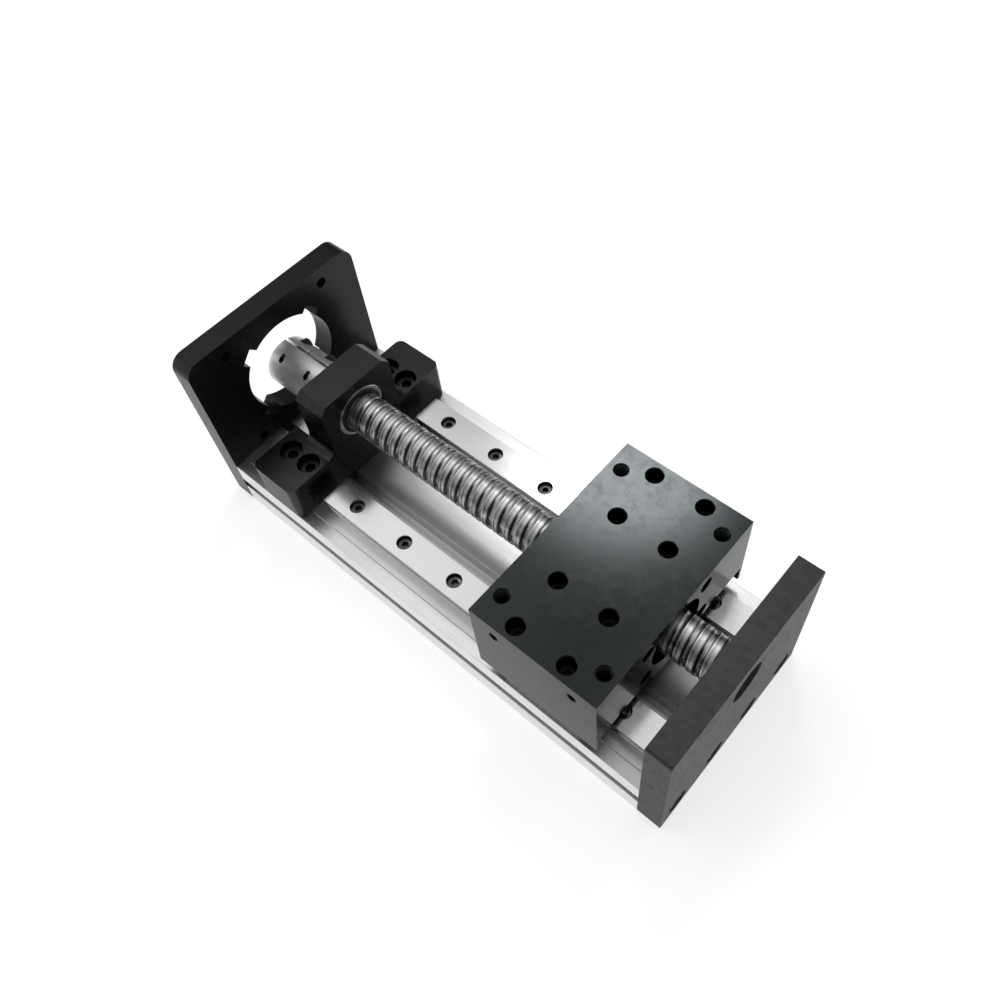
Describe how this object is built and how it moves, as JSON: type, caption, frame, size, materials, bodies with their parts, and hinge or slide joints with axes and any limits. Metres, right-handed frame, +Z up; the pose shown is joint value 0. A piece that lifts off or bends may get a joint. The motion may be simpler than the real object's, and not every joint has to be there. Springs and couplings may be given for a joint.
{
  "type": "motorized ball screw linear stage",
  "caption": "Short linear stage: aluminium base, two profile rails, a ball screw in a bearing block with a clamp coupling, a drilled carriage, an end plate and a plate for a motor.",
  "frame": {"origin": "centre of the underside's bounding rectangle, on the surface that the stage stands on", "axes": "+X from the motor plate to the end plate along the screw, +Z up, +Y across to the far rail"},
  "size_m": [0.22, 0.08, 0.08],
  "materials": {
    "silver_aluminium": "satin",
    "black_anodised": "satin",
    "ground_steel": "ground",
    "black_steel": "black oxide",
    "black_plastic": "moulded",
    "black_rubber": "matt"
  },
  "bodies": {
    "frame": {"base_extrusion": "silver_aluminium", "motor_plate": "black_anodised", "end_plate": "black_anodised", "motor_plate_screws": "black_steel", "end_plate_screws": "black_steel", "bearing_block": "black_anodised", "block_screws": "black_steel", "rail_near": "ground_steel", "rail_far": "ground_steel", "rail_screws": "black_steel", "fixed_bearing_outer_rings": "ground_steel", "idler_bearing_outer_ring": "ground_steel"},
    "spindle": {"ball_screw": "ground_steel", "lock_nut": "black_steel", "fixed_bearing_inner_rings": "ground_steel", "idler_bearing_inner_ring": "ground_steel", "coupling": "silver_aluminium", "coupling_screws": "black_steel"},
    "carriage": {"carriage_plate": "black_anodised", "carriage_screws": "black_steel", "ball_nut": "ground_steel", "nut_wipers": "black_plastic", "nut_set_screws": "black_steel", "rail_block_near": "ground_steel", "rail_block_far": "ground_steel", "end_caps_near": "black_plastic", "end_caps_far": "black_plastic", "end_seals_near": "black_rubber", "end_seals_far": "black_rubber", "grease_nipples": "black_steel"}
  },
  "joints": [
    {"name": "screw_spin", "type": "hinge", "parent": "frame", "child": "spindle", "pos_m": [0, 0, 0.05], "axis": [1, 0, 0], "range_deg": [-1080, 6480]},
    {"name": "carriage_slide", "type": "slide", "parent": "frame", "child": "carriage", "axis": [1, 0, 0], "range_m": [-0.09, 0.015]}
  ],
  "couplings": [
    {"joint": "screw_spin", "follows": "carriage_slide", "rad_per_m": -1256.6}
  ]
}
